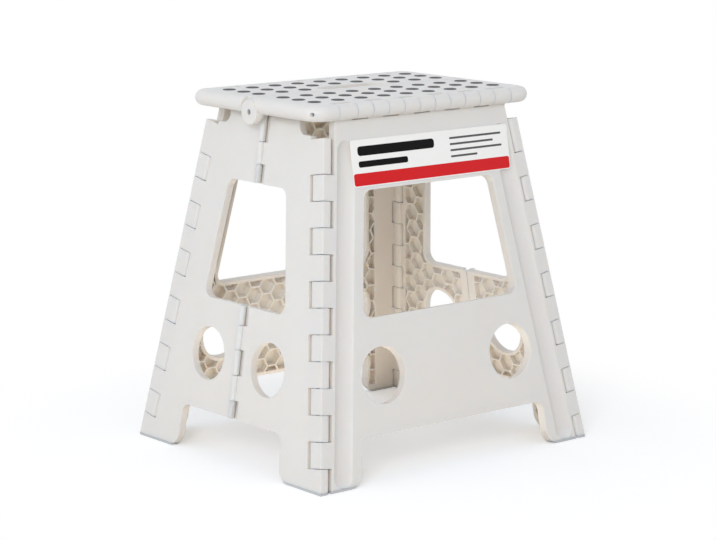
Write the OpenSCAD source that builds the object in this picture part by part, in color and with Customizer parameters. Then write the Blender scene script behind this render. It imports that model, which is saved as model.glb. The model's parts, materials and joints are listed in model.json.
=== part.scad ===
// Folding step stool: two side panels, four folding end halves and a two-part seat

/* [Overall] */
// Height of the seat top above the floor
stool_h = 390; // [350:1:430]
// Length of the leg frame at the floor, over the outer faces
base_len = 377; // [360:1:400]
// Depth of the leg frame at the floor, over the outer faces
base_wid = 325; // [310:1:345]
// Length that the end faces would have at the height of the seat top
top_len = 259.4; // [250:0.2:268]
// Depth that the side faces would have at the height of the seat top
top_wid = 193; // [185:0.5:200]

/* [Seat] */
// Length of the seat
seat_len = 307; // [295:1:325]
// How far the seat's long edge stands out past the place of the side face at that height
seat_over = 13.5; // [11:0.5:15]
// Thickness of the seat at its rounded rim
seat_t = 17; // [15:0.5:19]
// Radius of the seat's corners seen from above
seat_corner_r = 20; // [14:1:26]
// Width of the seam between the two seat halves
seam = 0.8; // [0.6:0.1:1.2]

/* [Panels] */
// Thickness of a side panel over its ribs
side_t = 10; // [8.5:0.5:10.5]
// Thickness of an end panel over its ribs
end_t = 8.5; // [7.5:0.5:9.5]
// Half width of the raised middle of an end panel
raised_half = 60; // [50:1:66]
// Height of that raised middle above the shoulders, along the panel
raised_h = 15.5; // [10:0.5:20]
// Thickness of the skin between the ribs
skin = 2.5; // [2:0.25:4]
// Width of the solid border round each panel and opening
border = 4; // [3:0.5:6]
// Distance between the middles of two honeycomb cells
cell_pitch = 20; // [16:1:30]
// Thickness of a honeycomb rib
rib = 1.8; // [1.4:0.2:2.6]

/* [Corner hinges] */
// Distance of a corner hinge's axis from the side panel's outer face
corner_back = 14; // [13:0.5:15]
// Distance of a corner hinge's axis from the end panel's outer face
corner_in = 6; // [5.5:0.25:6.5]
// Radius of the finger ends round the hinge axis
corner_r = 6; // [5:0.25:6]
// Length of a side panel's finger along the corner
finger_len = 26.8; // [24:0.1:30]
// Distance of the lowest side finger's middle from the floor, along the corner
finger_first = 41.4; // [36:0.1:46]
// Distance of the highest side finger's middle below the end panel's shoulder, along the corner
finger_last = 50.8; // [46:0.2:54]
// Number of fingers at each edge of a side panel
finger_count = 6; // [5:1:6]
// Gap between two fingers along the corner
finger_gap = 0.6; // [0.4:0.1:1]
// Gap between a fingertip and the panel behind it
tip_gap = 2.2; // [1.6:0.2:3]
// Radius of a corner rod
corner_rod_r = 2; // [1.5:0.25:2.5]

/* [Middle hinges] */
// Distance of the middle hinge's axis in front of the end panels' outer face
mid_out = 0.25; // [0.2:0.05:0.5]
// Radius of a middle hinge knuckle
mid_r = 3.6; // [3.2:0.1:4]
// Radius of a middle hinge pin
mid_pin_r = 1.5; // [1:0.25:1.75]
// Width of the recess beside a middle hinge knuckle
mid_recess = 10; // [7:0.5:12]

/* [Seat hinges] */
// Number of knuckles along each long edge of the seat
knuckle_count = 11; // [9:2:13]
// Length of the hinged zone along the seat's long edge
knuckle_zone = 238.8; // [232:0.2:240]
// Length of the first and the last knuckle of that zone
knuckle_end = 24; // [20:0.5:27]
// Gap between two knuckles along the edge
knuckle_gap = 0.5; // [0.4:0.1:1]
// Gap round the front edge's knuckles
front_gap = 1.2; // [1:0.1:1.6]
// Gap round the rear edge's knuckles, which lets the linkage breathe
rear_gap = 3.4; // [3.3:0.1:3.8]
// Radius of the rod in each long edge of the seat
seat_rod_r = 2; // [1.5:0.25:2.25]
// Depth of the centre hinge's axis below the seat top
centre_drop = 15; // [14:0.5:16]
// Radius of the round ear at the centre hinge
ear_r = 13; // [11:0.5:14]
// Thickness of the round ear
ear_t = 8; // [7:0.5:9]
// Radius of the lug behind the ear
lug_r = 9.5; // [8.5:0.5:10]
// Thickness of the lug behind the ear
lug_t = 5.6; // [5:0.2:6]
// Radius of a centre hinge pin
centre_pin_r = 3; // [2.5:0.25:3.5]

/* [Openings] */
// Height of the window's lower edge in a side panel, along the panel
side_win_low = 171.4; // [160:0.2:185]
// Distance of that window's upper edge from the height of the seat top, along the panel
side_head = 86.8; // [80:0.2:105]
// Half width of a side panel's window at its lower edge
side_win_half = 109; // [98:0.5:112]
// Distance of a side panel's round holes from its middle
side_hole_x = 89.7; // [85:0.1:95]
// Radius of a side panel's round holes
side_hole_r = 30; // [24:0.5:32]
// Height of a side panel's round holes, along the panel
side_hole_v = 110.5; // [104:0.5:116]
// Length of a side panel's foot from the corner edge to the arch
side_foot = 59; // [54:0.5:68]
// Height of the window's lower edge in an end panel, along the panel
end_win_low = 171.4; // [160:0.2:185]
// Distance of that window's upper edge from the height of the seat top, along the panel
end_head = 88; // [80:0.2:105]
// Half width of an end panel's window at its lower edge
end_win_half = 72; // [64:0.5:76]
// Distance of an end panel's round holes from the middle hinge
end_hole_y = 52.6; // [48:0.2:56]
// Height of an end panel's round holes, along the panel
end_hole_v = 111.2; // [104:0.2:116]
// Radius of an end panel's round holes
end_hole_r = 29; // [22:0.5:30]
// Length of an end panel's foot from the corner edge to the arch
end_foot = 74; // [68:0.5:82]
// Height of the arch between the feet, along the panel
arch_h = 49.5; // [40:0.5:56]
// Radius of the corners of windows and arches
win_r = 11; // [6:0.5:14]
// Rounding of a foot beside the arch
foot_r = 18; // [11:0.5:20]

/* [Flutes and details] */
// Distance of a flute's middle from the side panel's outer edge
flute_in = 29.3; // [27:0.1:32]
// Width of a flute
flute_w = 23.5; // [18:0.5:26]
// Depth of a flute
flute_d = 4.4; // [2:0.2:4.8]
// Height of a flute's lower end, along the panel
flute_low = 18; // [16:1:32]
// Radius of a grip dot
dot_r = 7.2; // [5:0.1:8.5]
// Distance between the grip dots along the seat
dot_dx = 31.15; // [28:0.05:33]
// Distance between the grip dots across the seat
dot_dy = 26.35; // [23:0.05:28]
// Distance of the first row of grip dots from the seam
dot_y0 = 21.1; // [18:0.1:24]
// Height of a grip dot above the seat top
dot_rise = 0.6; // [0.3:0.1:1]
// Depth of a grip dot's seat in the seat top
dot_sink = 1.2; // [0.8:0.1:1.6]
// Length of the carrying slot in the rear seat half
slot_len = 88; // [70:1:92]
// Width of the carrying slot
slot_w = 22; // [18:1:24]
// Distance of the carrying slot's middle from the seam
slot_y = 20; // [17:0.5:24]
// Thickness of the rubber pads under the feet
pad_t = 2.5; // [1.5:0.5:4]

/* [Hidden] */
$fn = 48;

// Play of a rod or pin in its bore
running_fit = 0.05;
// Overlap that joins two solids of one piece
bite = 0.5;
// Length that clears the whole stool
far = 600;
// How far the panels are drawn on below the floor before they are cut level
below_floor = 12;
// Depth of material left at the closed end of the seat's rod bore
rod_stop = 6;
// Distance that a rod or pin lies back from the end of its bore
set_back = 1.5;

// Slopes of the faces: run over rise, and the angle from the upright
side_slope = (base_wid - top_wid) / 2 / stool_h;
end_slope = (base_len - top_len) / 2 / stool_h;
side_tilt = atan(side_slope);
end_tilt = atan(end_slope);
// Lean of a corner edge in the plane of the side panel and of the end panel
side_edge_lean = atan(end_slope * cos(side_tilt));
end_edge_lean = atan(side_slope * cos(end_tilt));
// Length along a corner edge for each unit of height
edge_stretch = sqrt(1 + side_slope * side_slope + end_slope * end_slope);
// How far the corner between two faces is from square
corner_lean = asin(sin(side_tilt) * sin(end_tilt));

// Room that a hinge keeps from each face before the plate begins
side_keep = corner_in + corner_r + tip_gap;
end_keep = corner_back + corner_r + tip_gap;

// Half widths of the arches between the feet, and the upper edges of the windows
side_arch_half = base_len / 2 - side_foot;
end_arch_half = base_wid / 2 - end_foot;
side_win_high = stool_h - side_head;
end_win_high = stool_h - end_head;

// Seat hinge axes, in the frame of the whole stool
seat_wid = top_wid + 2 * seat_over;
hinge_r = seat_t / 2;
hinge_y = seat_wid / 2 - hinge_r;
hinge_z = stool_h - hinge_r;
seat_low = stool_h - seat_t;
centre_z = stool_h - centre_drop;
knuckle_mid = (knuckle_zone - 2 * knuckle_end) / (knuckle_count - 2);

// Places along the seat at the centre hinge: the seat's end, and both sides of the room for a lug
seat_x = seat_len / 2;
ear_x = seat_x + 0.4;
side_gap = 0.4;
lug_out = seat_x - ear_t;
lug_in = lug_out - side_gap - lug_t;
// Room round an ear and a lug, and the width of the chamfer under the seam
ear_gap = 0.6;
relief_w = 14;

// Colours of the plastic, the rubber, the foot pads and the rods
cream = "#e6e4df";
rubber = "#4b4b4d";
sole = "#b9b9b7";
steel = "#8f9296";

// Distances along the end panel from the floor: raised top, shoulder, and the knuckle joints
end_top_gap = 1;
end_top = (seat_low - end_top_gap) / cos(end_tilt);
end_shoulder = end_top - raised_h;
shoulder_r = 10;
upper_joints = [end_win_high, end_win_high + 20.4, end_win_high + 44.4, end_top];
lower_joints = [for (part = [0, 0.158, 0.385, 0.61, 0.828, 1]) arch_h + part * (end_win_low - arch_h)];
// Length of a corner edge up to the shoulder, and the distance between two fingers of one panel on it
edge_top = end_shoulder * cos(end_tilt) * edge_stretch;
finger_pitch = (edge_top - finger_last - finger_first) / (finger_count - 1);
// Rounding of the fingertips
tip_r = corner_r * 0.75;
// Play beside and round a middle hinge knuckle, and between the two end halves
mid_gap = 0.4;
mid_play = 0.6;
halves_gap = 0.6;
// Extra bore play at the right middle hinge, where the closed linkage is left open
open_pin_play = 0.5;

// Frame of a side panel: x along it, y up along its outer face, z outwards
module on_front() {
    translate([0, -base_wid / 2, 0])
        rotate([90 - side_tilt, 0, 0])
            children();
}

// Frame of an end panel: x along it towards the front, y up, z outwards
module on_left() {
    translate([-base_len / 2, 0, 0])
        rotate([0, 0, -90])
            rotate([90 - end_tilt, 0, 0])
                children();
}

// The same shape turned half round the stool's upright middle line
module turned() {
    rotate([0, 0, 180])
        children();
}

// A plate drawn on the outer face and as thick as given, towards the inside
module plate(thick) {
    translate([0, 0, -thick])
        linear_extrude(thick)
            children();
}

// Everything below the given height
module below(level) {
    translate([-far, -far, level - far])
        cube([2 * far, 2 * far, far]);
}

// Everything above the given height
module above(level) {
    translate([-far, -far, level])
        cube([2 * far, 2 * far, far]);
}

// Frame of a panel's left corner edge: x into the panel, y up along the edge
module at_edge(floor_len, lean) {
    translate([-floor_len / 2, 0, 0])
        rotate([0, 0, -lean])
            children();
}

// Both corner edges of a side panel
module both_edges() {
    for (s = [0, 1])
        mirror([s, 0, 0])
            at_edge(base_len, side_edge_lean)
                children();
}

// A section with x along the face and y into the wall, run along the corner edge
module along_edge(from, to) {
    translate([0, from, 0])
        rotate([-90, 0, 0])
            linear_extrude(to - from)
                children();
}

// Place of a hinge axis along a face: across is its depth from the other face
function axis_in(across, depth) = across / cos(corner_lean) - depth * tan(corner_lean);

// Section of a finger: square to both faces outside, round at its tip and about the hinge axis
module finger_section(across, depth, web_to, web_t) {
    ax = axis_in(across, depth);
    reach = depth + corner_r;
    tip_y = reach - tip_r;
    tip_x = axis_in(tip_r, tip_y);
    polygon([[0, 0], [ax, 0], [ax, reach], [tip_x, reach],
        [tip_x - tip_r * cos(corner_lean), tip_y - tip_r * sin(corner_lean)]]);
    translate([tip_x, tip_y])
        circle(r = tip_r);
    translate([ax, depth])
        circle(r = corner_r);
    translate([ax - bite, 0])
        square([corner_r + bite, depth]);
    translate([ax - bite, 0])
        square([web_to - ax + 2 * bite, web_t]);
}

// Start and end of side finger i along the edge
function finger_start(i) = finger_first + i * finger_pitch - finger_len / 2;
function finger_end(i) = finger_start(i) + finger_len;

// Fingers of a side panel along one edge
module side_fingers() {
    for (i = [0:finger_count - 1])
        along_edge(finger_start(i), finger_end(i))
            finger_section(corner_in, corner_back, side_keep, side_t);
}

// Fingers of an end panel: they fill the spaces that the side fingers leave
module end_fingers() {
    for (i = [0:finger_count]) {
        from = i == 0 ? -below_floor : finger_end(i - 1) + finger_gap;
        to = i == finger_count ? edge_top : finger_start(i) - finger_gap;
        along_edge(from, to)
            finger_section(corner_back, corner_in, end_keep, end_t);
    }
}

// Rod or bore on the corner hinge axis, in the frame of the edge
module corner_axis_rod(across, depth, radius, from, to) {
    translate([axis_in(across, depth), from, -depth])
        rotate([-90, 0, 0])
            cylinder(r = radius, h = to - from);
}

// Shape with its corners rounded
module rounded(radius) {
    offset(r = radius, $fn = 32)
        offset(delta = -radius)
            children();
}

// Honeycomb cells inside the given field, with the slivers left solid
module honeycomb(half_w, low, high) {
    step_x = cell_pitch * sqrt(3) / 2;
    nx = ceil(half_w / step_x);
    ny = ceil((high - low) / cell_pitch);
    sliver = 1.2;
    offset(delta = sliver)
        offset(delta = -sliver)
            intersection() {
                children();
                for (i = [-nx:nx], j = [0:ny])
                    translate([i * step_x, low + (j + (i % 2 == 0 ? 0 : 0.5)) * cell_pitch])
                        circle(r = (cell_pitch - rib) / sqrt(3), $fn = 6);
            }
}

// Arch between two feet, with rounded corners above and rounded feet beside it
module foot_arch(half_w) {
    flare = 4;
    offset(r = -foot_r, $fn = 32)
        offset(delta = foot_r) {
            rounded(win_r)
                polygon([[-half_w - flare, -arch_h], [half_w + flare, -arch_h],
                    [half_w, arch_h], [-half_w, arch_h]]);
            translate([-far, -far])
                square([2 * far, far]);
        }
}

// Window with its sides parallel to the panel's edges
module window(half_w, low, high, lean) {
    narrow = half_w - (high - low) * tan(lean);
    rounded(win_r)
        polygon([[-half_w, low], [half_w, low], [narrow, high], [-narrow, high]]);
}

// Half width of the side panel between its finger rows at height v along it
function side_half(v) = base_len / 2 - v * tan(side_edge_lean) - side_keep / cos(side_edge_lean);

// Face of a side panel without its fingers and knuckles
module side_face() {
    low = -below_floor;
    high = stool_h;
    difference() {
        polygon([[-side_half(low), low], [side_half(low), low],
            [side_half(high), high], [-side_half(high), high]]);
        window(side_win_half, side_win_low, side_win_high, side_edge_lean);
        foot_arch(side_arch_half);
        for (s = [-1, 1])
            translate([s * side_hole_x, side_hole_v])
                circle(r = side_hole_r);
    }
}

// Part of a side panel that carries ribs: inside the borders and off the flutes
module side_rib_field(neck_v) {
    intersection() {
        offset(delta = -border)
            side_face();
        translate([-far / 2, 2 * border])
            square([far, neck_v - 3 * border]);
        for (s = [0, 1])
            mirror([s, 0])
                difference() {
                    translate([-far, 0])
                        square(far);
                    translate([-base_len / 2, 0])
                        rotate(-side_edge_lean)
                            translate([flute_in - flute_w / 2, -far / 2])
                                square([flute_w, 2 * far]);
                }
    }
}

// Flute down one edge of a side panel, closed round at both ends
module flute(neck_v) {
    big_r = (flute_w * flute_w / 4 + flute_d * flute_d) / (2 * flute_d);
    run = neck_v - flute_w - flute_low;
    translate([flute_in, flute_low, big_r - flute_d]) {
        rotate([-90, 0, 0])
            cylinder(r = big_r, h = run);
        sphere(r = big_r);
        translate([0, run, 0])
            sphere(r = big_r);
    }
}

// Start and length of knuckle i along the seat's long edge, counted from the left
function knuckle_start(i) = -knuckle_zone / 2 + (i == 0 ? 0 : knuckle_end + (i - 1) * knuckle_mid);
function knuckle_length(i) = i == 0 || i == knuckle_count - 1 ? knuckle_end : knuckle_mid;

// A section in y and z, run along x at every second knuckle from first, longer by grow at each end
module at_knuckles(first, grow) {
    for (i = [first:2:knuckle_count - 1])
        translate([knuckle_start(i) - grow, 0, 0])
            rotate([90, 0, 90])
                linear_extrude(knuckle_length(i) + 2 * grow)
                    children();
}

// Knuckle of a side panel with the web that stands on the neck
module panel_knuckle(gap) {
    neck_z = seat_low - gap - bite;
    neck_y = top_wid / 2 + side_slope * (stool_h - neck_z);
    translate([-hinge_y, hinge_z])
        circle(r = hinge_r);
    polygon([[-neck_y, neck_z], [-hinge_y + hinge_r, neck_z],
        [-hinge_y + hinge_r, hinge_z], [-neck_y, hinge_z]]);
}

// Rod or bore on the front seat hinge axis
module seat_axis_rod(radius, from, to) {
    translate([from, -hinge_y, hinge_z])
        rotate([0, 90, 0])
            cylinder(r = radius, h = to - from);
}

// Side panel in its place at the front; gap is the room round the seat's knuckles
module side_panel(gap, bore_r) {
    neck_v = (seat_low - gap) / cos(side_tilt);
    difference() {
        union() {
            difference() {
                on_front()
                    plate(side_t)
                        side_face();
                above(seat_low - gap);
                on_front()
                    both_edges()
                        flute(neck_v);
            }
            on_front()
                both_edges()
                    side_fingers();
            at_knuckles(0, -knuckle_gap / 2)
                panel_knuckle(gap);
        }
        on_front() {
            translate([0, 0, -side_t - 1])
                linear_extrude(side_t - skin + 1)
                    honeycomb(base_len / 2, 0, neck_v)
                        side_rib_field(neck_v);
            both_edges()
                corner_axis_rod(corner_in, corner_back, corner_rod_r + running_fit, 0, far);
        }
        seat_axis_rod(bore_r, -seat_len, seat_len);
        below(pad_t);
    }
}

// Rubber pads under the two feet of a side panel
module side_pads() {
    intersection() {
        on_front()
            plate(side_t)
                side_face();
        below(pad_t);
        above(0);
    }
}

// Outer edge of an end panel beside its finger row, at height v along it
function end_half_w(v) = base_wid / 2 - v * tan(end_edge_lean) - end_keep / cos(end_edge_lean);

// Face of the left half of an end panel, without its fingers and knuckles
module end_face() {
    low = -below_floor;
    difference() {
        polygon([[-end_half_w(low), low], [-halves_gap / 2, low],
            [-halves_gap / 2, end_top], [-end_half_w(end_top), end_top]]);
        rounded(shoulder_r)
            translate([-raised_half - far, end_shoulder])
                square(far);
        window(end_win_half, end_win_low, end_win_high, end_edge_lean);
        foot_arch(end_arch_half);
        translate([-end_hole_y, end_hole_v])
            circle(r = end_hole_r);
    }
}

// Part of an end half that carries ribs: inside the borders and off the middle hinge
module end_rib_field() {
    intersection() {
        offset(delta = -border)
            end_face();
        translate([-far, 2 * border])
            square([far - mid_recess - border / 2, end_top]);
    }
}

// A section of the middle hinge run along every second joint of the two knuckle rows
module at_joints(first, grow) {
    for (row = [upper_joints, lower_joints])
        for (i = [first:2:len(row) - 2])
            translate([0, row[i] - grow, 0])
                rotate([-90, 0, 0])
                    linear_extrude(row[i + 1] - row[i] + 2 * grow)
                        children();
}

// Knuckle of the middle hinge
module mid_knuckle() {
    translate([0, -mid_out])
        circle(r = mid_r);
}

// Recess in the other half that the knuckle turns in, wider on one of the halves
module mid_pocket(wide) {
    room = mid_r + mid_play;
    translate([0, -mid_out])
        circle(r = room);
    if (wide)
        translate([-mid_recess, -mid_r])
            square([mid_recess + 1, mid_r + room - mid_out]);
}

// Rod or bore on the middle hinge axis over one row of knuckles, short of its ends
module mid_axis_rod(row, radius, short) {
    translate([0, row[0] + short, mid_out])
        rotate([-90, 0, 0])
            cylinder(r = radius, h = row[len(row) - 1] - row[0] - 2 * short);
}

// Left half of an end panel; own is 0 where it carries the first knuckle of each row, else 1
module end_half(own, pin_play) {
    difference() {
        union() {
            difference() {
                plate(end_t)
                    end_face();
                at_joints(1 - own, mid_gap / 2)
                    mid_pocket(own == 1);
            }
            at_edge(base_wid, end_edge_lean)
                end_fingers();
            at_joints(own, -mid_gap / 2)
                mid_knuckle();
        }
        translate([0, 0, -end_t - 1])
            linear_extrude(end_t - skin + 1)
                honeycomb(base_wid / 2, 0, end_top)
                    end_rib_field();
        at_edge(base_wid, end_edge_lean)
            corner_axis_rod(corner_back, corner_in, corner_rod_r + running_fit, 0, far);
        for (row = [upper_joints, lower_joints])
            mid_axis_rod(row, mid_pin_r + pin_play, -1);
    }
}

// Half with the first knuckles, in its place at the left rear
module outer_end_half(pin_play) {
    difference() {
        on_left()
            end_half(0, pin_play);
        below(pad_t);
    }
}

// Half with the knuckles between them, in its place at the left front
module inner_end_half(pin_play) {
    difference() {
        on_left()
            mirror([1, 0, 0])
                end_half(1, pin_play);
        below(pad_t);
    }
}

// Rubber pad under the left rear foot of an end panel
module end_pad() {
    intersection() {
        on_left()
            union() {
                plate(end_t)
                    end_face();
                at_edge(base_wid, end_edge_lean)
                    along_edge(-below_floor, finger_start(0) / 2)
                        finger_section(corner_back, corner_in, end_keep, end_t);
            }
        below(pad_t);
        above(0);
    }
}

// Section through the rim of the seat: flat inside, full round outside
module rim_section(flat) {
    translate([0, -hinge_r])
        square([flat, seat_t]);
    translate([flat, 0])
        circle(r = hinge_r);
}

// Outer form of a seat half: a slab with a full round rim on three sides
module seat_slab() {
    mid_x = seat_len / 2 - seat_corner_r;
    mid_y = seat_wid / 2 - seat_corner_r;
    flat = seat_corner_r - hinge_r;
    depth = mid_y - seam / 2;
    translate([-mid_x, -mid_y, seat_low])
        cube([2 * mid_x, depth, seat_t]);
    translate([-mid_x, -mid_y, hinge_z])
        rotate([90, 0, 90])
            linear_extrude(2 * mid_x)
                mirror([1, 0])
                    rim_section(flat);
    for (s = [0, 1])
        mirror([s, 0, 0]) {
            translate([mid_x, -seam / 2, hinge_z])
                rotate([90, 0, 0])
                    linear_extrude(depth)
                        rim_section(flat);
            translate([mid_x, -mid_y, hinge_z])
                rotate([0, 0, -90])
                    rotate_extrude(angle = 90)
                        rim_section(flat);
        }
}

// Disc on the centre hinge axis, x from one place to another
module centre_disc(radius, from, to) {
    translate([from, 0, centre_z])
        rotate([0, 90, 0])
            cylinder(r = radius, h = to - from);
}

// Room for the other half's ear, open above
module ear_room() {
    room = ear_r + ear_gap;
    translate([lug_out, 0, centre_z])
        rotate([90, 0, 90])
            linear_extrude(ear_t + side_gap) {
                circle(r = room);
                translate([-room, 0])
                    square([2 * room, far]);
            }
}

// Chamfer along the seam underneath, so that the halves can fold together
module seam_relief() {
    rotate([90, 0, 90])
        translate([0, 0, -seat_len])
            linear_extrude(2 * seat_len)
                polygon([[-relief_w, seat_low], [bite, centre_z + bite],
                    [bite, seat_low - 1], [-relief_w, seat_low - 1]]);
}

// Ribbed part of a seat half's underside
module seat_rib_field(gap, slot) {
    x = seat_len / 2 - hinge_r - border / 2;
    back = hinge_y - hinge_r - gap - border;
    hub = ear_t + lug_t + 2 * border;
    difference() {
        translate([-x, -back])
            square([2 * x, back - border]);
        for (s = [-1, 1])
            translate([s * (seat_len / 2) - hub, -ear_r - border])
                square([2 * hub, 2 * ear_r]);
        if (slot)
            slot_plan(border);
    }
}

// Plan of the carrying slot, grown all round
module slot_plan(grow) {
    run = slot_len - slot_w;
    for (s = [-1, 1])
        translate([s * run / 2, -slot_y])
            circle(r = slot_w / 2 + grow);
    translate([-run / 2, -slot_y - slot_w / 2 - grow])
        square([run, slot_w + 2 * grow]);
}

// Places of the grip dots in one seat half, left out where the slot is
module at_dots(slot) {
    for (i = [-4:4], j = [0:2])
        if (!(slot && j == 0 && abs(i) < 2))
            translate([i * dot_dx, -dot_y0 - j * dot_dy, 0])
                children();
}

// Seat half in its place at the front; gap is the room round the side panel's knuckles
module seat_half(gap, slot) {
    difference() {
        union() {
            difference() {
                seat_slab();
                at_knuckles(0, knuckle_gap / 2)
                    translate([-seat_wid, 0])
                        square([seat_wid - hinge_y + hinge_r + gap, 2 * stool_h]);
                ear_room();
                centre_disc(lug_r + ear_gap, -lug_out, -lug_in + side_gap);
                seam_relief();
            }
            centre_disc(ear_r, -ear_x, -seat_x + ear_t);
            centre_disc(lug_r, lug_in, lug_out - side_gap);
        }
        translate([0, 0, seat_low - 1])
            linear_extrude(seat_t - skin + 1)
                honeycomb(seat_x, -hinge_y, 0)
                    seat_rib_field(gap, slot);
        seat_axis_rod(seat_rod_r + running_fit, -seat_x - 1, seat_x - rod_stop);
        centre_disc(centre_pin_r + running_fit, -seat_x - 1, -lug_in);
        centre_disc(centre_pin_r + running_fit, lug_in - 1, seat_x + 1);
        at_dots(slot)
            translate([0, 0, stool_h - dot_sink])
                cylinder(r = dot_r, h = 2 * dot_sink);
        if (slot)
            translate([0, 0, seat_low - 1])
                linear_extrude(seat_t + 2)
                    slot_plan(0);
    }
}

// Grip dots of a seat half: a disc with a chamfered top
module grip_dots(slot) {
    at_dots(slot)
        translate([0, 0, stool_h - dot_sink]) {
            cylinder(r = dot_r, h = dot_sink);
            translate([0, 0, dot_sink])
                cylinder(r1 = dot_r, r2 = dot_r - dot_rise, h = dot_rise);
        }
}

// Rod in the front long edge of the seat
module seat_rod() {
    seat_axis_rod(seat_rod_r, -seat_x + 2 * set_back + rod_stop / 2, seat_x - rod_stop - bite);
}

// Pin of the centre hinge at the left end
module seat_pin() {
    centre_disc(centre_pin_r, -seat_x + set_back, -lug_in - bite);
}

// Rod in the left front corner
module corner_rod() {
    low = (pad_t + bite) * edge_stretch + corner_back * sin(side_tilt) + corner_in * sin(end_tilt);
    on_front()
        at_edge(base_len, side_edge_lean)
            corner_axis_rod(corner_in, corner_back, corner_rod_r, low, edge_top - set_back);
}

// Pin of the left middle hinge through one row of knuckles
module mid_pin(row) {
    on_left()
        mid_axis_rod(row, mid_pin_r, set_back);
}

// The same shape seen in a mirror at the middle of the stool's length
module opposite() {
    mirror([1, 0, 0])
        children();
}

// Side panel under the seat's plain half
module front_side_panel() {
    color(cream)
        side_panel(front_gap, seat_rod_r + running_fit);
}

// Side panel under the seat half with the slot, with more room round its hinge
module rear_side_panel() {
    color(cream)
        turned()
            side_panel(rear_gap, seat_rod_r + rear_gap);
}

// Front half of the left end
module left_front_end_panel() {
    color(cream)
        inner_end_half(running_fit);
}

// Rear half of the left end
module left_rear_end_panel() {
    color(cream)
        outer_end_half(running_fit);
}

// Front half of the right end
module right_front_end_panel() {
    color(cream)
        turned()
            outer_end_half(running_fit);
}

// Rear half of the right end, on open hinge bores
module right_rear_end_panel() {
    color(cream)
        turned()
            inner_end_half(open_pin_play);
}

// Plain seat half
module front_seat_half() {
    color(cream)
        seat_half(front_gap, false);
}

// Seat half with the carrying slot
module rear_seat_half() {
    color(cream)
        turned()
            seat_half(rear_gap, true);
}

// Rubber dots of the plain seat half
module front_grip_dots() {
    color(rubber)
        grip_dots(false);
}

// Rubber dots of the seat half with the slot
module rear_grip_dots() {
    color(rubber)
        turned()
            grip_dots(true);
}

// Rod in the seat's front edge
module front_seat_rod() {
    color(steel)
        seat_rod();
}

// Rod in the seat's rear edge
module rear_seat_rod() {
    color(steel)
        turned()
            seat_rod();
}

// Pin of the centre hinge, left
module left_seat_pin() {
    color(steel)
        seat_pin();
}

// Pin of the centre hinge, right
module right_seat_pin() {
    color(steel)
        turned()
            seat_pin();
}

// Rod of the left front corner
module left_front_corner_rod() {
    color(steel)
        corner_rod();
}

// Rod of the left rear corner
module left_rear_corner_rod() {
    color(steel)
        turned()
            opposite()
                corner_rod();
}

// Rod of the right front corner
module right_front_corner_rod() {
    color(steel)
        opposite()
            corner_rod();
}

// Rod of the right rear corner
module right_rear_corner_rod() {
    color(steel)
        turned()
            corner_rod();
}

// Pin of the left end's upper knuckles
module left_upper_hinge_pin() {
    color(steel)
        mid_pin(upper_joints);
}

// Pin of the left end's lower knuckles
module left_lower_hinge_pin() {
    color(steel)
        mid_pin(lower_joints);
}

// Pin of the right end's upper knuckles
module right_upper_hinge_pin() {
    color(steel)
        turned()
            mid_pin(upper_joints);
}

// Pin of the right end's lower knuckles
module right_lower_hinge_pin() {
    color(steel)
        turned()
            mid_pin(lower_joints);
}

// Soles under the front side panel's feet
module front_foot_pads() {
    color(sole)
        side_pads();
}

// Soles under the rear side panel's feet
module rear_foot_pads() {
    color(sole)
        turned()
            side_pads();
}

// Sole under the left front end half
module left_front_foot_pad() {
    color(sole)
        turned()
            opposite()
                end_pad();
}

// Sole under the left rear end half
module left_rear_foot_pad() {
    color(sole)
        end_pad();
}

// Sole under the right front end half
module right_front_foot_pad() {
    color(sole)
        turned()
            end_pad();
}

// Sole under the right rear end half
module right_rear_foot_pad() {
    color(sole)
        opposite()
            end_pad();
}

front_side_panel();
rear_side_panel();
left_front_end_panel();
left_rear_end_panel();
right_front_end_panel();
right_rear_end_panel();
front_seat_half();
rear_seat_half();
front_grip_dots();
rear_grip_dots();
front_seat_rod();
rear_seat_rod();
left_seat_pin();
right_seat_pin();
left_front_corner_rod();
left_rear_corner_rod();
right_front_corner_rod();
right_rear_corner_rod();
left_upper_hinge_pin();
left_lower_hinge_pin();
right_upper_hinge_pin();
right_lower_hinge_pin();
front_foot_pads();
rear_foot_pads();
left_front_foot_pad();
left_rear_foot_pad();
right_front_foot_pad();
right_rear_foot_pad();
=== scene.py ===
# %% [markdown]
# Folding step stool, dressed in Blender
# The stool's solids come packed from the CAD step and stay exactly where they are.
# This lesson gives them light, a camera and moulded-plastic finishes, and adds two small
# things that such a stool has on its faces: a printed sticker and rings on some knuckles.

import json
import math

import bmesh
import bpy
from mathutils import Matrix, Vector


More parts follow.
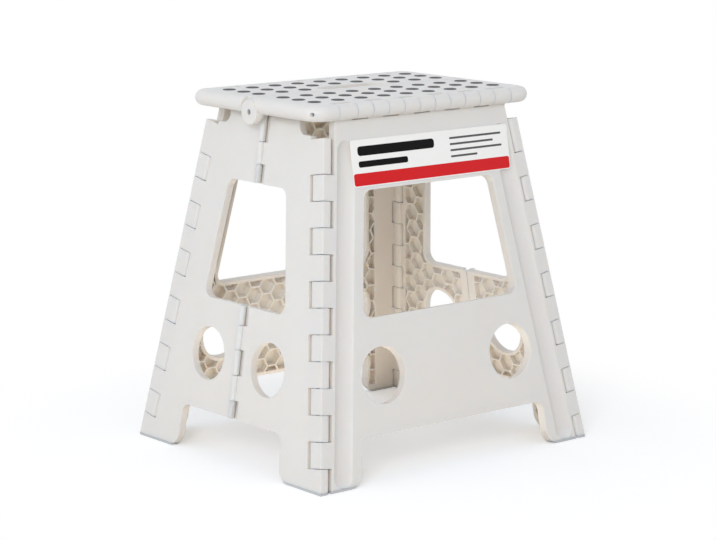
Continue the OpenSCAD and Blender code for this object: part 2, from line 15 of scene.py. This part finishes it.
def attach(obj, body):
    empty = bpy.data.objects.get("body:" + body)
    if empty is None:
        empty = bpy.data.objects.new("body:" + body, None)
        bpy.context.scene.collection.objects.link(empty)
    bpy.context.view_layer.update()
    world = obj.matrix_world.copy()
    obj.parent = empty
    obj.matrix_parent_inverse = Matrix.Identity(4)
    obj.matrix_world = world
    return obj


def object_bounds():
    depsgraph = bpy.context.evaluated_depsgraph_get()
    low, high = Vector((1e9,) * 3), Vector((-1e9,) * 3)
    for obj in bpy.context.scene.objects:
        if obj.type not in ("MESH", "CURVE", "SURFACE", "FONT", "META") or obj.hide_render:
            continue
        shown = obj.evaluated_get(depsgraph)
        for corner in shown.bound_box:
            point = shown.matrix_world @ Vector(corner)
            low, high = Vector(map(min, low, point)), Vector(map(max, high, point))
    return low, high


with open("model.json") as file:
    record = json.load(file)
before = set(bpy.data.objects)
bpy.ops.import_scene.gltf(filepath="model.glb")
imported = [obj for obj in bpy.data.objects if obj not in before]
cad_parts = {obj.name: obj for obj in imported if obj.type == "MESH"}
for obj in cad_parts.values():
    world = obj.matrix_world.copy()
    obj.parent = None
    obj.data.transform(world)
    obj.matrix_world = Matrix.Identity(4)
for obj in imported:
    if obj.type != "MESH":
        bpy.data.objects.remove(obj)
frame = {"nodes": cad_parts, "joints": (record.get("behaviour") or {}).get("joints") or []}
cad_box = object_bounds()
nodes = frame["nodes"]
MM = 0.001

# %% [markdown]
# Where things are
# The four faces of the stool lean inwards, so a sticker or a row of rings is easiest to place in
# the frame of its own face: across, up along the face, and out of it. The slopes could be copied
# from the CAD source. Here they are read from the corner hinge, whose axis leans with both faces.

# %% Frames of the leaning faces
hinge = next(joint for joint in frame["joints"] if joint["name"] == "left_front_corner")
lean_end, lean_side, rise = (abs(part) for part in hinge["axis"])
side_tilt = math.atan(lean_side / rise)
end_tilt = math.atan(lean_end / rise)
half_length, half_width = cad_box[1][0], cad_box[1][1]


def on_face(turn, half, tilt):
    """Frame of a leaning face: x across, y up along it, z outwards, in metres."""
    lean = Matrix.Rotation(math.pi / 2 - tilt, 4, "X")
    out = Matrix.Translation((0, -half, 0))
    return Matrix.Rotation(turn, 4, "Z") @ out @ lean


FRONT = on_face(0, half_width, side_tilt)
LEFT = on_face(-math.pi / 2, half_length, end_tilt)
RIGHT = on_face(math.pi / 2, half_length, end_tilt)
print("front leans %.2f deg, ends lean %.2f deg" % (math.degrees(side_tilt), math.degrees(end_tilt)))

# %% [markdown]
# The camera
# It looks at the stool from the left of its front and a little above the floor. A short lens
# near by would spread the legs; this one is long and far back, so that the stool's edges stay
# nearly parallel. Its focal length and middle are given in pixels, as a camera fit gives them.

# %% Camera
PHOTO_W, PHOTO_H = 716, 540
FOCAL_PX = 2399.0
MIDDLE_X_PX, MIDDLE_Y_PX = 361.9, 268.2
SENSOR_MM, CLIP_END = 36.0, 30.0
AIM = Vector((-0.00013, 0.0001, 0.19))
AZIMUTH, ELEVATION, DISTANCE = math.radians(-39.5), math.radians(10.73), 2.6438

flat = math.cos(ELEVATION)
back = Vector((math.sin(AZIMUTH) * flat, -math.cos(AZIMUTH) * flat, math.sin(ELEVATION)))
camera = bpy.data.objects.new("camera", bpy.data.cameras.new("camera"))
camera.location = AIM + back * DISTANCE
camera.rotation_euler = back.to_track_quat("Z", "Y").to_euler()
camera.data.sensor_width = SENSOR_MM
camera.data.lens = FOCAL_PX / PHOTO_W * SENSOR_MM
camera.data.shift_x = (PHOTO_W / 2 - MIDDLE_X_PX) / PHOTO_W
camera.data.shift_y = (MIDDLE_Y_PX - PHOTO_H / 2) / PHOTO_W
camera.data.clip_end = CLIP_END
bpy.context.scene.collection.objects.link(camera)
bpy.context.scene.camera = camera
print("lens %.1f mm, camera at" % camera.data.lens, [round(v, 3) for v in camera.location])

# %% [markdown]
# Helpers for node trees
# Every finish is a small tree of nodes. One function turns a written sRGB colour into the
# linear one that the renderer wants, one adds a node with its values and links, and one starts
# a material. They keep each finish short enough to be read as a list of what it is made of.


# %% Colour and node helpers
def linear(code, alpha=1.0):
    """A hex sRGB colour such as E8E4DB as linear red, green, blue and alpha."""
    parts = [int(code[i:i + 2], 16) / 255 for i in (0, 2, 4)]
    return [c / 12.92 if c <= 0.04045 else ((c + 0.055) / 1.055) ** 2.4 for c in parts] + [alpha]


def add(tree, kind, inputs=None, **settings):
    """A node with its settings, its input values and its incoming links."""
    made = tree.nodes.new(kind)
    for name, value in settings.items():
        setattr(made, name, value)
    for name, value in (inputs or {}).items():
        if isinstance(value, bpy.types.NodeSocket):
            tree.links.new(value, made.inputs[name])
        else:
            made.inputs[name].default_value = value
    return made


def new_material(name):
    """An empty material: itself, its tree and its output node."""
    material = bpy.data.materials.new(name)
    material.use_nodes = True
    material.node_tree.nodes.clear()
    return material, material.node_tree, add(material.node_tree, "ShaderNodeOutputMaterial")


print("middle grey as linear:", [round(v, 3) for v in linear("808080")])

# %% [markdown]
# Two close tones
# No moulded or printed surface has one flat colour. A mix of two close tones by soft noise gives
# it life, and the size of the patches says what it is: a hand's width for a melt that cooled
# unevenly, millimetres for dust or ink. The noise reads Object coordinates, so it stays in place.


# %% Cloudy colour
def cloudy(tree, place, codes, patch_mm, detail):
    """The noise and the mixed colour of two tones in patches of the given size."""
    noise = add(tree, "ShaderNodeTexNoise",
                {"Vector": place, "Scale": 1 / (patch_mm * MM), "Detail": detail})
    tone = add(tree, "ShaderNodeMix",
               {"Factor": noise.outputs["Fac"], "A": linear(codes[0]), "B": linear(codes[1])},
               data_type="RGBA")
    return noise.outputs["Fac"], tone.outputs["Result"]


print("cloudy colour ready")

# %% [markdown]
# Moulded polypropylene
# The panels and the seat are injection moulded polypropylene, coloured through in a warm white
# and satin to the eye. The spark-eroded tool leaves a fine pebble of about 0.3 mm on it, drawn
# here at 0.9 mm so that it shows, and the melt leaves faint cloudy tones. The plastic is
# slightly translucent: light enters it, spreads over some millimetres and softens the ribs
# inside, which subsurface scattering gives. Edges that are sharp in the solids have a small
# moulded radius. It could be cut into the mesh; the bevel node gives it to the light alone and
# leaves the shape as it is.

# %% Polypropylene
CREAM = ("EAE3D9", "E6DED3")
MELT_MM, PEBBLE_MM, EDGE_MM, SCATTER_MM = 60, 0.9, 0.9, 5
ROUGHNESS = (0.35, 0.46)


def moulded_plastic(name):
    """Satin moulded plastic with a pebbled skin and softened edges."""
    material, tree, out = new_material(name)
    place = add(tree, "ShaderNodeTexCoord").outputs["Object"]
    melt, colour = cloudy(tree, place, CREAM, MELT_MM, 3.0)
    pebble = add(tree, "ShaderNodeTexNoise",
                 {"Vector": place, "Scale": 1 / (PEBBLE_MM * MM), "Detail": 1.0})
    edge = add(tree, "ShaderNodeBevel", {"Radius": EDGE_MM * MM}, samples=4)
    skin = add(tree, "ShaderNodeBump", {"Height": pebble.outputs["Fac"], "Strength": 0.12,
                                        "Distance": 0.15 * MM, "Normal": edge.outputs["Normal"]})
    satin = add(tree, "ShaderNodeMapRange",
                {"Value": melt, "To Min": ROUGHNESS[0], "To Max": ROUGHNESS[1]})
    plastic = add(tree, "ShaderNodeBsdfPrincipled",
                  {"Base Color": colour, "Roughness": satin.outputs["Result"], "IOR": 1.49,
                   "Subsurface Weight": 0.55, "Subsurface Radius": (1.0, 0.8, 0.6),
                   "Subsurface Scale": SCATTER_MM * MM, "Normal": skin.outputs["Normal"]})
    tree.links.new(plastic.outputs["BSDF"], out.inputs["Surface"])
    return material


polypropylene = moulded_plastic("moulded_polypropylene_cream")
print("made", polypropylene.name)

# %% [markdown]
# Soft rubber
# The grip dots and the soles are thermoplastic rubber, moulded over or pressed into the hard
# plastic. It is matte and fine grained, and holds a little dust. The two differ only in colour,
# dark grey for the dots and light grey for the soles, so one function makes both.

# %% Rubber
GRAIN_MM, DUST_MM = 0.8, 9


def soft_rubber(name, codes):
    """Matte rubber with a fine grain and faint dust."""
    material, tree, out = new_material(name)
    place = add(tree, "ShaderNodeTexCoord").outputs["Object"]
    colour = cloudy(tree, place, codes, DUST_MM, 4.0)[1]
    grain = add(tree, "ShaderNodeTexNoise",
                {"Vector": place, "Scale": 1 / (GRAIN_MM * MM), "Detail": 2.0})
    skin = add(tree, "ShaderNodeBump",
               {"Height": grain.outputs["Fac"], "Strength": 0.25, "Distance": 0.2 * MM})
    rubber = add(tree, "ShaderNodeBsdfPrincipled",
                 {"Base Color": colour, "Roughness": 0.72, "IOR": 1.52, "Normal": skin.outputs["Normal"]})
    tree.links.new(rubber.outputs["BSDF"], out.inputs["Surface"])
    return material


dot_rubber = soft_rubber("thermoplastic_rubber_dark_grey", ("4A4845", "575552"))
sole_rubber = soft_rubber("thermoplastic_rubber_light_grey", ("C9C7C2", "BDBBB6"))
print("made", dot_rubber.name, "and", sole_rubber.name)

# %% [markdown]
# Drawn steel wire
# The hinge rods and pins are cut from drawn wire: bright, with fine lines along their length.
# The lines could be modelled only as grooves far too fine to see. Noise that is stretched along
# the rods varies the roughness instead. Metal keeps the default IOR.

# %% Steel
LINE_WIDTH_MM, LINE_LENGTH_MM = 0.4, 8


def drawn_steel(name):
    """Bright steel whose roughness varies in fine lines."""
    material, tree, out = new_material(name)
    place = add(tree, "ShaderNodeTexCoord").outputs["Object"]
    long, fine = 1 / (LINE_LENGTH_MM * MM), 1 / (LINE_WIDTH_MM * MM)
    stretched = add(tree, "ShaderNodeMapping", {"Vector": place, "Scale": (long, fine, long)})
    lines = add(tree, "ShaderNodeTexNoise",
                {"Vector": stretched.outputs["Vector"], "Scale": 1.0, "Detail": 2.0})
    sheen = add(tree, "ShaderNodeMapRange",
                {"Value": lines.outputs["Fac"], "To Min": 0.28, "To Max": 0.46})
    steel = add(tree, "ShaderNodeBsdfPrincipled",
                {"Base Color": linear("9A9DA1"), "Metallic": 1.0, "Roughness": sheen.outputs["Result"]})
    tree.links.new(steel.outputs["BSDF"], out.inputs["Surface"])
    return material


wire_steel = drawn_steel("drawn_steel_wire")
print("made", wire_steel.name)

# %% [markdown]
# Dress the solids
# Each solid keeps its shape and place and only gets the finish of its own material. The solids
# could be dressed one by one, but their names already say what they are, so the names decide.


# %% Finishes for the CAD solids
def finish_for(name):
    """The finish that a solid's name asks for."""
    if name.endswith("grip_dots"):
        return dot_rubber
    if "foot_pad" in name:
        return sole_rubber
    if name.endswith(("rod", "pin")):
        return wire_steel
    return polypropylene


for name, solid in nodes.items():
    for slot in solid.material_slots:
        slot.material = finish_for(name)
    if not solid.material_slots:
        solid.data.materials.append(finish_for(name))
print("dressed", len(nodes), "solids")

# %% [markdown]
# The floor
# The stool stands on pale studio paper that fades into a white background. A white sheet under
# bright lamps would do it, but would also wash out the stool. So the paper is an ordinary matte
# one for all light that the stool receives, and only the camera's own rays see it lifted: a
# little near the stool, where it keeps the shadow, and to plain white farther out. Under the
# stool the lift is slightly blue, which calms the warm light that falls out of it.

# %% Floor
FLOOR_HALF = 20.0
# Distances from the stool's middle, in metres
SHADOW_TO, WHITE_FROM = 0.22, 0.50
CALM_TO, PLAIN_FROM = 0.12, 0.30
CALM, PLAIN = (0.85, 0.97, 1.12, 1.0), (1.0, 1.0, 1.0, 1.0)
LIFT = 0.27


def studio_paper(name):
    """Matte paper that the camera sees fade to white away from the stool."""
    material, tree, out = new_material(name)
    place = add(tree, "ShaderNodeTexCoord").outputs["Object"]
    away = add(tree, "ShaderNodeVectorMath", {0: place}, operation="LENGTH").outputs["Value"]
    seen = add(tree, "ShaderNodeLightPath").outputs["Is Camera Ray"]
    fade = add(tree, "ShaderNodeMapRange", {"Value": away, "From Min": SHADOW_TO, "From Max": WHITE_FROM},
               interpolation_type="SMOOTHSTEP")
    calm = add(tree, "ShaderNodeMapRange", {"Value": away, "From Min": CALM_TO, "From Max": PLAIN_FROM},
               interpolation_type="SMOOTHSTEP")
    tint = add(tree, "ShaderNodeMix", {"Factor": calm.outputs["Result"], "A": CALM, "B": PLAIN},
               data_type="RGBA")
    lift = add(tree, "ShaderNodeMath", {0: seen, 1: LIFT}, operation="MULTIPLY")
    glow = add(tree, "ShaderNodeEmission",
               {"Color": tint.outputs["Result"], "Strength": lift.outputs["Value"]})
    paper = add(tree, "ShaderNodeBsdfDiffuse", {"Color": linear("F6F0E6")})
    near = add(tree, "ShaderNodeAddShader", {0: paper.outputs["BSDF"], 1: glow.outputs["Emission"]})
    white = add(tree, "ShaderNodeEmission", {"Strength": 1.0})
    share = add(tree, "ShaderNodeMath", {0: seen, 1: fade.outputs["Result"]}, operation="MULTIPLY")
    both = add(tree, "ShaderNodeMixShader",
               {0: share.outputs["Value"], 1: near.outputs["Shader"], 2: white.outputs["Emission"]})
    tree.links.new(both.outputs["Shader"], out.inputs["Surface"])
    return material


corners = [(x * FLOOR_HALF, y * FLOOR_HALF, 0) for x, y in ((-1, -1), (1, -1), (1, 1), (-1, 1))]
floor_mesh = bpy.data.meshes.new("floor")
floor_mesh.from_pydata(corners, [], [(0, 1, 2, 3)])
floor_mesh.materials.append(studio_paper("studio_floor_paper"))
floor = bpy.data.objects.new("floor", floor_mesh)
bpy.context.scene.collection.objects.link(floor)
print("floor laid, %.0f m wide" % (2 * FLOOR_HALF))

# %% [markdown]
# The lamps
# The faces of a stool of one colour are told apart only by their light. A soft box at the left
# of the front makes the end face the brightest, and a weak one, left and a little behind, fills
# its edges. Both are slightly cool, which turns the warm plastic to a neutral white outside.
# Light that has bounced about inside is warmer, so a small warm panel lies under the stool.


# %% Lamps
COOL, WARM = (0.80, 0.875, 1.0), (1.0, 0.92, 0.82)
STOOL_MIDDLE, STRAIGHT_UP = Vector((0, 0, 0.2)), Vector((0, 0, 1))


def soft_box(name, place, aim, size, watts, tint):
    """A square area lamp that points at a place, and that the camera doesn't see."""
    light = bpy.data.lights.new(name, "AREA")
    light.size, light.energy, light.color = size, watts, tint
    lamp = bpy.data.objects.new(name, light)
    lamp.visible_camera = False
    lamp.location = place
    lamp.rotation_euler = (Vector(place) - aim).to_track_quat("Z", "Y").to_euler()
    bpy.context.scene.collection.objects.link(lamp)
    return lamp


lamps = [soft_box("soft_box_left", (-2.6, 0.6, 1.6), STOOL_MIDDLE, size=1.8, watts=5, tint=COOL),
         soft_box("soft_box_front", (-2.5, -2.0, 1.5), STOOL_MIDDLE, size=1.0, watts=42, tint=COOL),
         soft_box("panel_under", (0, 0, 0.002), STRAIGHT_UP, size=0.26, watts=0.25, tint=WARM)]
print("lamps:", [(lamp.name, lamp.data.energy) for lamp in lamps])

# %% [markdown]
# The surroundings
# Most of the light comes evenly from all sides, as in a white studio, so the world does the main
# work. It is cool and a little under 1 for the light on the stool, and plain white for what the
# camera sees behind it and for what metal and glossy plastic mirror.

# %% World
SKY_LEVEL = 0.79


def studio_air(name):
    """A world that lights in cool white and is seen and mirrored as plain white."""
    air = bpy.data.worlds.new(name)
    air.use_nodes = True
    tree = air.node_tree
    tree.nodes.clear()
    rays = add(tree, "ShaderNodeLightPath").outputs
    seen = rays["Is Camera Ray"]
    for kind in ("Is Glossy Ray", "Is Transmission Ray"):
        seen = add(tree, "ShaderNodeMath", {0: seen, 1: rays[kind]}, operation="MAXIMUM").outputs["Value"]
    tint = add(tree, "ShaderNodeMix", {"Factor": seen, "A": (*COOL, 1), "B": PLAIN}, data_type="RGBA")
    level = add(tree, "ShaderNodeMapRange", {"Value": seen, "To Min": SKY_LEVEL, "To Max": 1.0})
    glow = add(tree, "ShaderNodeBackground",
               {"Color": tint.outputs["Result"], "Strength": level.outputs["Result"]})
    add(tree, "ShaderNodeOutputWorld", {"Surface": glow.outputs["Background"]})
    return air


bpy.context.scene.world = studio_air("studio")
bpy.context.scene.view_settings.view_transform = "Standard"
print("world", bpy.context.scene.world.name, "at", SKY_LEVEL)

# %% [markdown]
# Finished pieces
# A piece that is added to the solids has its place in its mesh, so its object stays at the
# origin. It rides on the body whose face it lies on, and so folds with it. All of these lie on
# the cream plastic.


# %% Piece on a body
def add_piece(name, mesh, body):
    """An object from a finished mesh, riding on a body."""
    piece = bpy.data.objects.new(name, mesh)
    bpy.context.scene.collection.objects.link(piece)
    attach(piece, body)
    return piece


# %% [markdown]
# Printed vinyl
# The sticker is white vinyl film printed in three inks. Film is smooth and lightly glossy, with
# the faint mottle that a printing roller leaves. The dark inks reflect less than the bare film,
# so each one gets its own share of the reflection.


# %% Vinyl and inks
MOTTLE_MM = 2.5


def printed_vinyl(name, codes, reflection):
    """Printed film: one ink in two close tones."""
    material, tree, out = new_material(name)
    place = add(tree, "ShaderNodeTexCoord").outputs["Object"]
    colour = cloudy(tree, place, codes, MOTTLE_MM, 2.0)[1]
    film = add(tree, "ShaderNodeBsdfPrincipled",
               {"Base Color": colour, "Roughness": 0.3, "IOR": 1.5, "Specular IOR Level": reflection})
    tree.links.new(film.outputs["BSDF"], out.inputs["Surface"])
    return material


white_vinyl = printed_vinyl("printed_vinyl_white", ("FFF8EC", "FBF4E8"), 0.5)
red_ink = printed_vinyl("printed_vinyl_red", ("E01B1F", "DA181C"), 0.2)
grey_ink = printed_vinyl("printed_vinyl_grey", ("5E5C58", "575551"), 0.2)
black_ink = printed_vinyl("printed_vinyl_black", ("0A0909", "0E0D0C"), 0.1)
print("made a film and three inks")

# %% [markdown]
# Flat plates with round corners
# A print could be an image on the panel, but it would blur from near by. Here each print is a
# thin plate of its own, a twentieth of a millimetre above the film, so its edge stays sharp. A
# plate is drawn as an outline on its face and given a lower and an upper height.


# %% Thin plates
def rounded(left, bottom, right, top, radius, steps):
    """Corner points of a rounded rectangle, anticlockwise, in millimetres."""
    points = []
    for x, y, start in ((right - radius, bottom + radius, -90), (right - radius, top - radius, 0),
                        (left + radius, top - radius, 90), (left + radius, bottom + radius, 180)):
        for i in range(steps + 1):
            angle = math.radians(start + 90 * i / steps)
            points.append((x + radius * math.cos(angle), y + radius * math.sin(angle)))
    return points


def thin_plates(name, outlines, low, high, material):
    """A piece on the front face, made of one flat plate for each outline."""
    plates = bmesh.new()
    for outline in outlines:
        under, over = [[plates.verts.new(FRONT @ Vector((x * MM, y * MM, z * MM))) for x, y in outline]
                       for z in (low, high)]
        plates.faces.new(list(reversed(under)))
        plates.faces.new(over)
        for i in range(len(outline)):
            k = (i + 1) % len(outline)
            plates.faces.new((under[i], under[k], over[k], over[i]))
    mesh = bpy.data.meshes.new(name)
    plates.to_mesh(mesh)
    plates.free()
    mesh.materials.append(material)
    return add_piece(name, mesh, "front_side")


print("a rounded corner has", len(rounded(0, 0, 2, 2, 1, 8)) // 4, "points")

# %% [markdown]
# The front sticker
# Such a stool is sold with a printed sticker across the top of its front panel. This one is
# generic: white film with rounded corners, a red band along its foot, two black bars and a few
# grey rules. A pattern could be drawn with nodes, but each of these is only a rounded rectangle,
# placed on the front face by its edges in millimetres.

# %% Sticker
FILM_MM, INK_MM = 0.12, 0.05
# Left, lower, right and upper edge
FILM = (-102, 307, 118, 356)
BAND = (-101, 308, 117, 321)
RULES_LEFT, RULE_H = 34, 2.2
# Right end and lower edge of each rule
RULES = ((108, 346), (96, 339.5), (108, 333), (72, 326.5))
BARS_LEFT = -93
# Right end, lower edge and height of each bar
BARS = ((12, 339, 10), (-26, 327, 6.5))
FILM_R, BAND_R, RULE_R = 3, 2.5, 1
FINE, COARSE = 8, 3

ink_top = FILM_MM + INK_MM
rules = [rounded(RULES_LEFT, y, right, y + RULE_H, RULE_R, COARSE) for right, y in RULES]
bars = [rounded(BARS_LEFT, y, right, y + high, high / 3, COARSE) for right, y, high in BARS]
sticker = [thin_plates("front_sticker", [rounded(*FILM, FILM_R, FINE)], 0.0, FILM_MM, white_vinyl),
           thin_plates("front_sticker_red", [rounded(*BAND, BAND_R, FINE)], FILM_MM, ink_top, red_ink),
           thin_plates("front_sticker_rules", rules, FILM_MM, ink_top, grey_ink),
           thin_plates("front_sticker_bars", bars, FILM_MM, ink_top, black_ink)]
print("sticker:", [piece.name for piece in sticker])

# %% [markdown]
# Grip rings on the middle hinges
# Some knuckles of the middle hinges are moulded with fine rings, where a thumb pushes the end
# in. Each could be a torus placed by hand. Rings along a line are a job for Geometry Nodes: a
# line gives the places, one thin hoop is put on each, and the named inputs hold the sizes.


# %% Tree of rings along a knuckle
def socket(tree, name, kind, direction="INPUT"):
    """A named socket on the outside of a node tree; gives back its identifier."""
    return tree.interface.new_socket(name=name, in_out=direction, socket_type=kind).identifier


HOOP_STEPS, WIRE_STEPS = 28, 6
rings = bpy.data.node_groups.new("knuckle_rings", "GeometryNodeTree")
rings.is_modifier = True
socket(rings, "Geometry", "NodeSocketGeometry", "OUTPUT")
ring_inputs = {name: socket(rings, name, kind) for name, kind in (
    ("Count", "NodeSocketInt"), ("Pitch", "NodeSocketFloat"), ("Hoop Radius", "NodeSocketFloat"),
    ("Wire Radius", "NodeSocketFloat"), ("Finish", "NodeSocketMaterial"))}
given = add(rings, "NodeGroupInput").outputs
step = add(rings, "ShaderNodeCombineXYZ", {"Y": given["Pitch"]})
line = add(rings, "GeometryNodeMeshLine", {"Count": given["Count"], "Offset": step.outputs["Vector"]})
hoop = add(rings, "GeometryNodeCurvePrimitiveCircle",
           {"Resolution": HOOP_STEPS, "Radius": given["Hoop Radius"]})
wire = add(rings, "GeometryNodeCurvePrimitiveCircle",
           {"Resolution": WIRE_STEPS, "Radius": given["Wire Radius"]})
ring = add(rings, "GeometryNodeCurveToMesh",
           {"Curve": hoop.outputs["Curve"], "Profile Curve": wire.outputs["Curve"]})
upright = add(rings, "GeometryNodeTransform",
              {"Geometry": ring.outputs["Mesh"], "Rotation": (math.pi / 2, 0, 0)})
placed = add(rings, "GeometryNodeInstanceOnPoints",
             {"Points": line.outputs["Mesh"], "Instance": upright.outputs["Geometry"]})
real = add(rings, "GeometryNodeRealizeInstances", {"Geometry": placed.outputs["Instances"]})
dressed = add(rings, "GeometryNodeSetMaterial",
              {"Geometry": real.outputs["Geometry"], "Material": given["Finish"]})
add(rings, "NodeGroupOutput", {"Geometry": dressed.outputs["Geometry"]})
print("tree", rings.name, "with inputs", list(ring_inputs))

# %% [markdown]
# From a tree to a plain mesh
# A piece that rides on a body needs a plain mesh, with no modifier left. So the tree is run once
# on an empty holder, its result is kept as a mesh, and the holder goes. The rows on one body
# then become one mesh, because they belong to one moulding. Set Material leaves an empty slot
# before its own, so the joined mesh gets its one material anew, for all of its faces.


# %% Run a tree, and join the results
def grown(tree, inputs):
    """Runs a tree with the given inputs and gives back the plain mesh that it makes."""
    blank = bpy.data.meshes.new("blank")
    holder = bpy.data.objects.new("holder", blank)
    bpy.context.scene.collection.objects.link(holder)
    modifier = holder.modifiers.new("grow", "NODES")
    modifier.node_group = tree
    for identifier, value in inputs.items():
        modifier[identifier] = value
    graph = bpy.context.evaluated_depsgraph_get()
    mesh = bpy.data.meshes.new_from_object(holder.evaluated_get(graph))
    holder.modifiers.remove(modifier)
    bpy.data.objects.remove(holder)
    bpy.data.meshes.remove(blank)
    return mesh


def joined(name, rows, material):
    """One mesh from several that are already in their places."""
    whole = bmesh.new()
    for row in rows:
        whole.from_mesh(row)
        bpy.data.meshes.remove(row)
    for polygon in whole.faces:
        polygon.material_index = 0
    mesh = bpy.data.meshes.new(name)
    whole.to_mesh(mesh)
    whole.free()
    mesh.materials.append(material)
    return mesh


print("ready to grow", rings.name)

# %% [markdown]
# Which half carries the ringed knuckles
# Each middle hinge has two rows of knuckles, one over the window and one under it, and both
# rows start with a ringed one at their lower end. On the left end these belong to the rear
# half, on the right end to the front half, because the ends are one part turned half round. The
# rings sit partly in the knuckle, so that they look moulded and not slipped on.

# %% Rings on the lowest knuckle of each row
# Lower and upper end of each ringed knuckle, up along the face, in millimetres
RINGED_SPANS = ((49.5, 68.8), (302.0, 322.4))
END_MARGIN, RING_PITCH = 2.0, 3.3
# Radius of the knuckles, and how far their axis stands out of the face
KNUCKLE_R, AXIS_OUT = 3.6, 0.25
# Radius of a ring's wire, and how deep its middle lies in the knuckle
WIRE_R, RING_SUNK = 0.38, 0.15

for face, body in ((LEFT, "left_rear_end"), (RIGHT, "right_front_end")):
    rows = []
    for low, high in RINGED_SPANS:
        length = high - low - 2 * END_MARGIN
        count = round(length / RING_PITCH) + 1
        row = grown(rings, {ring_inputs["Count"]: count,
                            ring_inputs["Pitch"]: length / (count - 1) * MM,
                            ring_inputs["Hoop Radius"]: (KNUCKLE_R - RING_SUNK) * MM,
                            ring_inputs["Wire Radius"]: WIRE_R * MM,
                            ring_inputs["Finish"]: polypropylene})
        row.transform(face @ Matrix.Translation((0, (low + END_MARGIN) * MM, AXIS_OUT * MM)))
        rows.append(row)
    name = body + "_knuckle_rings"
    piece = add_piece(name, joined(name, rows, polypropylene), body)
    print(piece.name, len(piece.data.polygons), "faces")

# %% [markdown]
# Last step
# The visual model has to stay inside the solids' own box.

# %% Finish
print("finished")
